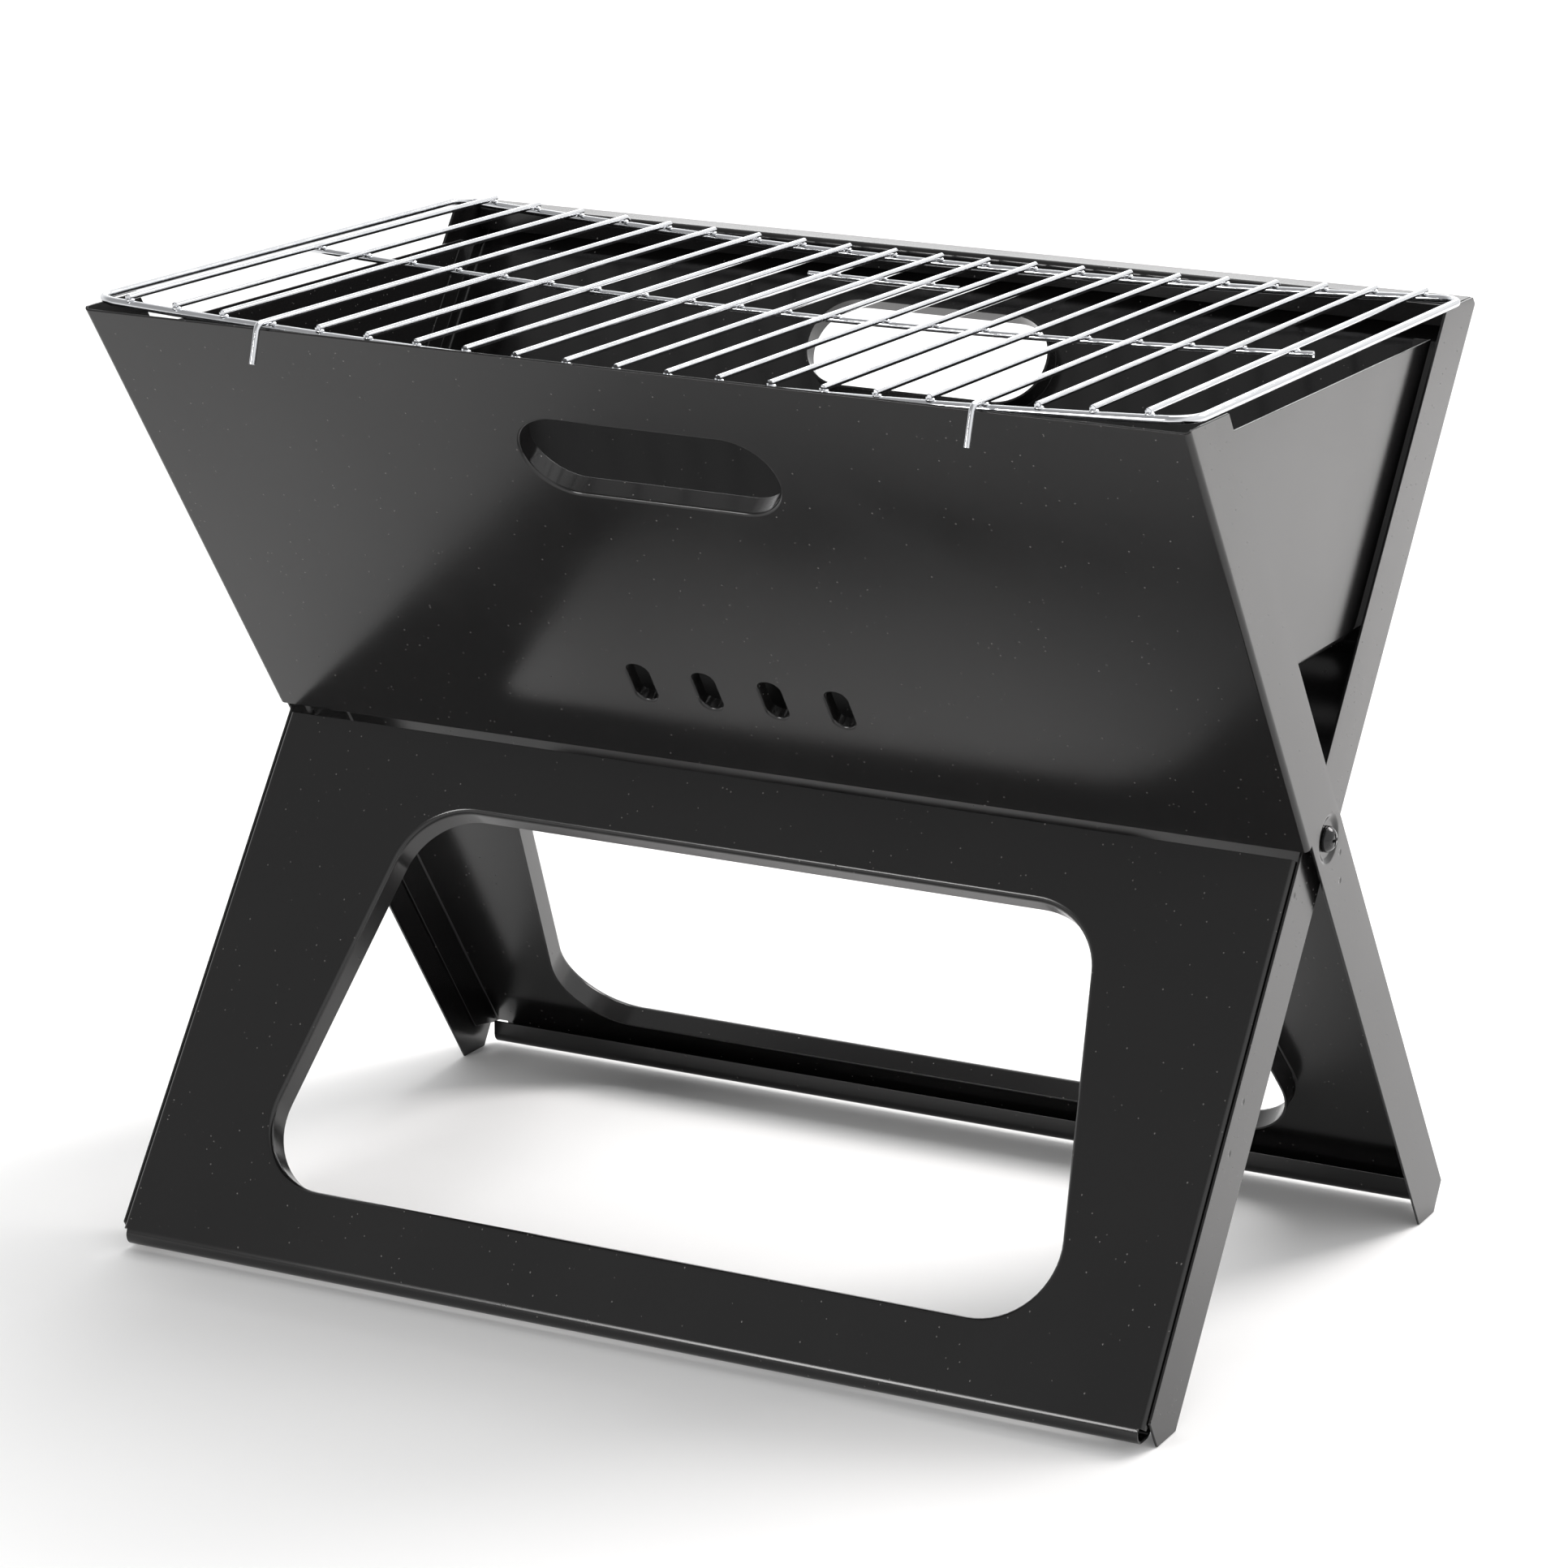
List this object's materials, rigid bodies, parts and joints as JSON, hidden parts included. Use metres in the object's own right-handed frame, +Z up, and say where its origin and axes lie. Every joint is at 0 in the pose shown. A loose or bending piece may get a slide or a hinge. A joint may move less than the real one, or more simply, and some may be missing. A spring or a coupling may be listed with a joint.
{
  "type": "folding charcoal grill",
  "caption": "Free-standing folding camp grill: two crossed sheet-metal halves on pivot bolts, with a fire basket between them and a hooked wire rack on top.",
  "frame": {"origin": "centre of the bounding box at the level of the feet", "axes": "+X to the right along the width, -Y towards the front panel with the vents, +Z up"},
  "size_m": [0.4474, 0.3044, 0.3764],
  "materials": {
    "black_enamel": "gloss",
    "rack_chrome": "bright plated wire",
    "bolt_black": "gloss",
    "washer_zinc": "satin zinc plate"
  },
  "bodies": {
    "front_half": {"front_fire_panel": "black_enamel", "rear_leg_panel": "black_enamel", "pivot_bolt_left": "bolt_black", "pivot_bolt_right": "bolt_black", "pivot_spacer_left": "washer_zinc", "pivot_spacer_right": "washer_zinc", "pivot_nut_left": "washer_zinc", "pivot_nut_right": "washer_zinc"},
    "rear_half": {"rear_fire_panel": "black_enamel", "front_leg_panel": "black_enamel"},
    "rack": {"rack_frame": "rack_chrome", "rack_bar_01": "rack_chrome", "rack_bar_02": "rack_chrome", "rack_bar_03": "rack_chrome", "rack_bar_04": "rack_chrome", "rack_bar_05": "rack_chrome", "rack_bar_06": "rack_chrome", "rack_bar_07": "rack_chrome", "rack_bar_08": "rack_chrome", "rack_bar_09": "rack_chrome", "rack_bar_10": "rack_chrome", "rack_bar_11": "rack_chrome", "rack_bar_12": "rack_chrome", "rack_bar_13": "rack_chrome", "rack_bar_14": "rack_chrome", "rack_bar_15": "rack_chrome", "rack_bar_16": "rack_chrome", "rack_bar_17": "rack_chrome", "rack_bar_18": "rack_chrome", "rack_bar_19": "rack_chrome", "rack_bar_20": "rack_chrome", "rack_bar_21": "rack_chrome", "rack_cross_wire_long": "rack_chrome", "rack_cross_wire_short": "rack_chrome"},
    "basket": {"charcoal_grate": "black_enamel", "end_plate_left": "black_enamel", "end_plate_right": "black_enamel"}
  },
  "joints": [
    {"name": "fold", "type": "hinge", "parent": "front_half", "child": "rear_half", "pos_m": [0, 0.00425, 0.1915], "axis": [1, 0, 0], "range_deg": [0, 71]},
    {"name": "rack_lift", "type": "slide", "parent": "front_half", "child": "rack", "axis": [0, 0, 1], "range_m": [0, 0.447]},
    {"name": "basket_lift", "type": "slide", "parent": "front_half", "child": "basket", "axis": [0, -0.4695, 0.8829], "range_m": [0, 0.348]}
  ],
  "couplings": [
    {"joint": "rack_lift", "follows": "fold", "m_per_rad": 0.36},
    {"joint": "basket_lift", "follows": "fold", "m_per_rad": 0.28}
  ]
}
